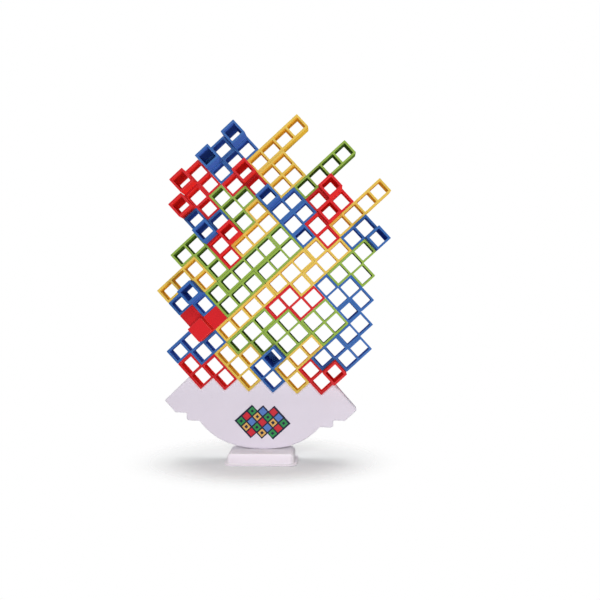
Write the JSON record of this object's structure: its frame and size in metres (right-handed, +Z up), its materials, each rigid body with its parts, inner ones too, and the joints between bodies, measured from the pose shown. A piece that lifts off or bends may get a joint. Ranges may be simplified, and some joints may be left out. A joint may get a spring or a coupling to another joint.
{
  "type": "stacking balance game",
  "caption": "Hollow plastic tetromino and three-dimensional blocks stacked on edge in the notches of a rocker board that balances on a small stand.",
  "frame": {"origin": "centre of the stand's underside, on the surface that the game stands on", "axes": "+X to the right as the player sees the front, +Y away from the player, +Z up"},
  "size_m": [0.246, 0.0579, 0.3629],
  "materials": {
    "red_plastic": "moulded, satin gloss",
    "blue_plastic": "moulded, satin gloss",
    "green_plastic": "moulded, satin gloss",
    "yellow_plastic": "moulded, satin gloss",
    "board_plastic": "moulded, smooth matt",
    "stand_plastic": "moulded, smooth matt"
  },
  "bodies": {
    "root": {"blue_tripod_block_1": "blue_plastic", "blue_tripod_block_2": "blue_plastic", "blue_tripod_block_3": "blue_plastic", "blue_twist_block_1": "blue_plastic", "blue_twist_block_2": "blue_plastic", "blue_twist_block_3": "blue_plastic", "blue_twist_block_4": "blue_plastic", "blue_twist_block_5": "blue_plastic", "blue_twist_block_6": "blue_plastic", "blue_zigzag_block_1": "blue_plastic", "blue_zigzag_block_2": "blue_plastic", "blue_zigzag_block_3": "blue_plastic", "green_bar_block_1": "green_plastic", "green_bar_block_2": "green_plastic", "green_ell_block_1": "green_plastic", "green_ell_block_2": "green_plastic", "green_ell_block_3": "green_plastic", "green_square_block_1": "green_plastic", "green_square_block_2": "green_plastic", "green_tee_block_1": "green_plastic", "green_tee_block_2": "green_plastic", "green_tee_block_3": "green_plastic", "red_tripod_block_1": "red_plastic", "red_tripod_block_2": "red_plastic", "red_tripod_block_3": "red_plastic", "red_twist_block_1": "red_plastic", "red_twist_block_2": "red_plastic", "red_twist_block_3": "red_plastic", "red_twist_block_4": "red_plastic", "red_twist_block_5": "red_plastic", "red_zigzag_block_1": "red_plastic", "red_zigzag_block_2": "red_plastic", "rocker_board": "board_plastic", "stand": "stand_plastic", "yellow_bar_block_1": "yellow_plastic", "yellow_bar_block_2": "yellow_plastic", "yellow_bar_block_3": "yellow_plastic", "yellow_ell_block_1": "yellow_plastic", "yellow_ell_block_2": "yellow_plastic", "yellow_ell_block_3": "yellow_plastic", "yellow_square_block_1": "yellow_plastic", "yellow_tee_block_1": "yellow_plastic", "yellow_tee_block_2": "yellow_plastic", "yellow_tee_block_3": "yellow_plastic"}
  },
  "joints": []
}
